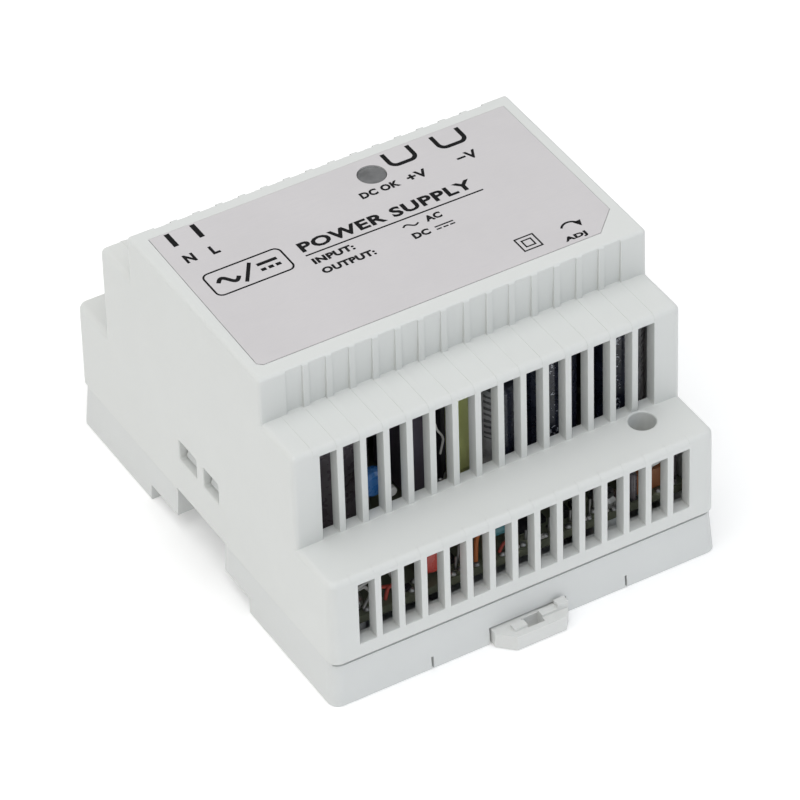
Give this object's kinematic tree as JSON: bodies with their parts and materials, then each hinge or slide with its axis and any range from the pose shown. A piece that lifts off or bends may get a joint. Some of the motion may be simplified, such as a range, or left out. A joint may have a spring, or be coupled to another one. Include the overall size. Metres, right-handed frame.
{
  "type": "din rail power supply",
  "caption": "Stepped DIN rail power supply with vented front, label plateau, sliding rail clip, screw terminals and output trimmer.",
  "frame": {"origin": "middle of the bounding box underside, on the plane of the feet", "axes": "+X along the width, +Y towards the terminal side, +Z from the rail side to the label plateau"},
  "size_m": [0.0784, 0.0958, 0.0573],
  "materials": {
    "housing": "fine moulded satin",
    "label": "satin printed film",
    "light_pipe": "clear polished",
    "board": "solder mask",
    "terminal_plastic": "moulded satin",
    "zinc_steel": "zinc plated",
    "tin_contact": "tin plated",
    "sleeve": "shrunk film",
    "disc_blue": "epoxy dipped",
    "film_red": "epoxy dipped",
    "ntc_green": "epoxy dipped",
    "tape_yellow": "polyester tape",
    "ferrite": "sintered",
    "bobbin_black": "moulded",
    "enamel_copper": "enamelled wire",
    "epoxy_black": "moulded epoxy",
    "anodised_sink": "black anodised",
    "fuse_glass": "clear",
    "film_grey": "potted box",
    "phenolic_brown": "moulded",
    "rotor_white": "moulded",
    "led_green": "clear epoxy",
    "iron_powder": "painted core",
    "resistor_teal": "lacquer"
  },
  "bodies": {
    "enclosure": {"front_cover": "housing", "base_tray": "housing", "rating_label": "label", "status_light_pipe": "light_pipe", "main_board": "board", "control_board": "board", "input_terminal_block": "terminal_plastic", "output_terminal_block": "terminal_plastic", "board_screw_1": "zinc_steel", "board_screw_2": "zinc_steel", "board_screw_3": "zinc_steel", "board_screw_4": "zinc_steel", "pin_input_n": "tin_contact", "pin_input_l": "tin_contact", "pin_output_plus": "tin_contact", "pin_output_minus": "tin_contact", "bulk_capacitor": "sleeve", "output_capacitor_1": "sleeve", "output_capacitor_2": "sleeve", "filter_capacitor": "sleeve", "varistor": "disc_blue", "y_capacitor": "disc_blue", "film_capacitor": "film_red", "inrush_thermistor": "ntc_green", "transformer_winding": "tape_yellow", "transformer_core_1": "ferrite", "transformer_core_2": "ferrite", "choke_core": "ferrite", "transformer_bobbin": "bobbin_black", "choke_winding_1": "enamel_copper", "choke_winding_2": "enamel_copper", "inductor_winding": "enamel_copper", "bridge_rectifier": "epoxy_black", "switching_transistor": "epoxy_black", "output_rectifier": "epoxy_black", "control_ic": "epoxy_black", "optocoupler": "epoxy_black", "primary_heatsink": "anodised_sink", "output_heatsink": "anodised_sink", "mains_fuse": "fuse_glass", "x_capacitor": "film_grey", "trimmer_body": "phenolic_brown", "snubber_capacitor": "phenolic_brown", "status_led": "led_green", "inductor_core": "iron_powder", "bleed_resistor": "resistor_teal"},
    "rail_clip": {"din_clip": "housing"},
    "adjuster": {"trimmer_rotor": "rotor_white"},
    "screw_input_n_body": {"screw_input_n": "zinc_steel"},
    "clamp_input_n_body": {"clamp_input_n": "zinc_steel"},
    "screw_input_l_body": {"screw_input_l": "zinc_steel"},
    "clamp_input_l_body": {"clamp_input_l": "zinc_steel"},
    "screw_output_1_body": {"screw_output_1": "zinc_steel"},
    "clamp_output_1_body": {"clamp_output_1": "zinc_steel"},
    "screw_output_2_body": {"screw_output_2": "zinc_steel"},
    "clamp_output_2_body": {"clamp_output_2": "zinc_steel"},
    "screw_output_3_body": {"screw_output_3": "zinc_steel"},
    "clamp_output_3_body": {"clamp_output_3": "zinc_steel"},
    "screw_output_4_body": {"screw_output_4": "zinc_steel"},
    "clamp_output_4_body": {"clamp_output_4": "zinc_steel"}
  },
  "joints": [
    {"name": "clip_slide", "type": "slide", "parent": "enclosure", "child": "rail_clip", "axis": [0, -1, 0], "range_m": [0, 0.005], "stiffness_N_per_m": 400},
    {"name": "adjuster_turn", "type": "hinge", "parent": "enclosure", "child": "adjuster", "pos_m": [0.0293, -0.03475, 0.018], "axis": [0, 0, 1], "range_deg": [-135, 135]},
    {"name": "screw_turn_input_n", "type": "hinge", "parent": "enclosure", "child": "screw_input_n_body", "pos_m": [-0.03249, 0.04115, 0.0229], "axis": [0, 0, -1], "range_deg": [0, 1152.01]},
    {"name": "clamp_rise_input_n", "type": "slide", "parent": "enclosure", "child": "clamp_input_n_body", "axis": [0, 0, 1], "range_m": [0, 0.0016]},
    {"name": "screw_turn_input_l", "type": "hinge", "parent": "enclosure", "child": "screw_input_l_body", "pos_m": [-0.02741, 0.04115, 0.0229], "axis": [0, 0, -1], "range_deg": [0, 1152.01]},
    {"name": "clamp_rise_input_l", "type": "slide", "parent": "enclosure", "child": "clamp_input_l_body", "axis": [0, 0, 1], "range_m": [0, 0.0016]},
    {"name": "screw_turn_output_1", "type": "hinge", "parent": "enclosure", "child": "screw_output_1_body", "pos_m": [0.0106, 0.04115, 0.0229], "axis": [0, 0, -1], "range_deg": [0, 1152.01]},
    {"name": "clamp_rise_output_1", "type": "slide", "parent": "enclosure", "child": "clamp_output_1_body", "axis": [0, 0, 1], "range_m": [0, 0.0016]},
    {"name": "screw_turn_output_2", "type": "hinge", "parent": "enclosure", "child": "screw_output_2_body", "pos_m": [0.01568, 0.04115, 0.0229], "axis": [0, 0, -1], "range_deg": [0, 1152.01]},
    {"name": "clamp_rise_output_2", "type": "slide", "parent": "enclosure", "child": "clamp_output_2_body", "axis": [0, 0, 1], "range_m": [0, 0.0016]},
    {"name": "screw_turn_output_3", "type": "hinge", "parent": "enclosure", "child": "screw_output_3_body", "pos_m": [0.02076, 0.04115, 0.0229], "axis": [0, 0, -1], "range_deg": [0, 1152.01]},
    {"name": "clamp_rise_output_3", "type": "slide", "parent": "enclosure", "child": "clamp_output_3_body", "axis": [0, 0, 1], "range_m": [0, 0.0016]},
    {"name": "screw_turn_output_4", "type": "hinge", "parent": "enclosure", "child": "screw_output_4_body", "pos_m": [0.02584, 0.04115, 0.0229], "axis": [0, 0, -1], "range_deg": [0, 1152.01]},
    {"name": "clamp_rise_output_4", "type": "slide", "parent": "enclosure", "child": "clamp_output_4_body", "axis": [0, 0, 1], "range_m": [0, 0.0016]}
  ],
  "couplings": [
    {"joint": "screw_turn_input_n", "follows": "clamp_rise_input_n", "rad_per_m": 12566},
    {"joint": "screw_turn_input_l", "follows": "clamp_rise_input_l", "rad_per_m": 12566},
    {"joint": "screw_turn_output_1", "follows": "clamp_rise_output_1", "rad_per_m": 12566},
    {"joint": "screw_turn_output_2", "follows": "clamp_rise_output_2", "rad_per_m": 12566},
    {"joint": "screw_turn_output_3", "follows": "clamp_rise_output_3", "rad_per_m": 12566},
    {"joint": "screw_turn_output_4", "follows": "clamp_rise_output_4", "rad_per_m": 12566}
  ]
}
